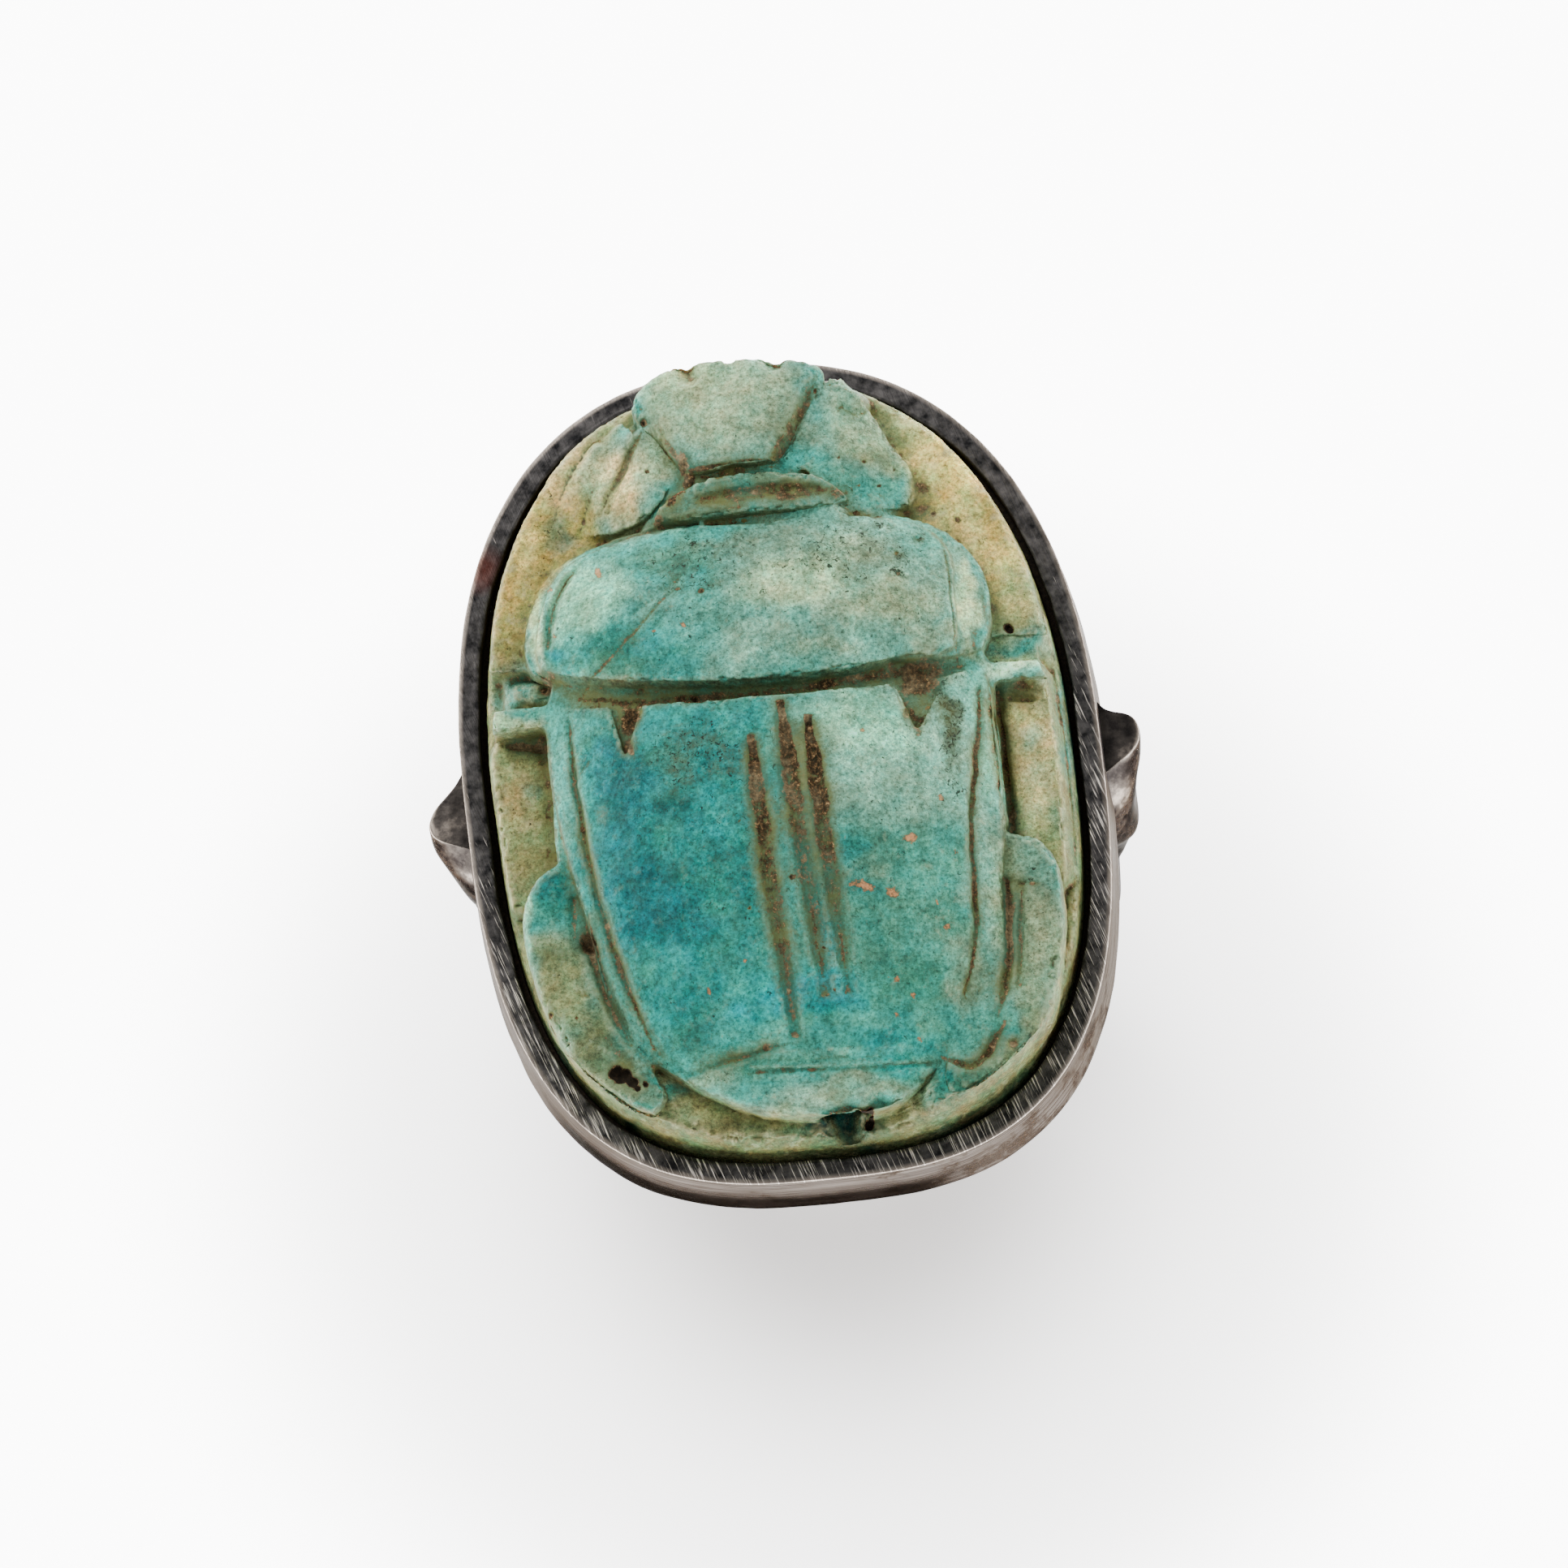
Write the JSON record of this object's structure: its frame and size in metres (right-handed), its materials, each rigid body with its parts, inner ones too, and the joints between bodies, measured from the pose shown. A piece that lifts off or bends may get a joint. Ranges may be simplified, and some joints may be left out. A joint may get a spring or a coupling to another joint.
{
  "type": "scarab finger ring",
  "caption": "Silver finger ring whose fixed oval box bezel holds a carved scarab beetle of turquoise glazed stone.",
  "frame": {"origin": "centre of the finger hole", "axes": "+Y along the finger towards the beetle's head, +Z out of the bezel's face, +X across the finger"},
  "size_m": [0.0212, 0.0256, 0.025],
  "materials": {
    "silver": "worn satin silver",
    "cast_silver": "cast silver, tarnished in the hollows",
    "glazed_stone": "weathered turquoise glaze with brown dirt in the cuts",
    "dark_cement": "dull dark filling"
  },
  "bodies": {
    "root": {"scarab": "glazed_stone", "bedding": "dark_cement", "bezel_wall": "silver", "bezel_floor": "silver", "right_shoulder": "cast_silver", "left_shoulder": "cast_silver", "shank": "silver"}
  },
  "joints": []
}
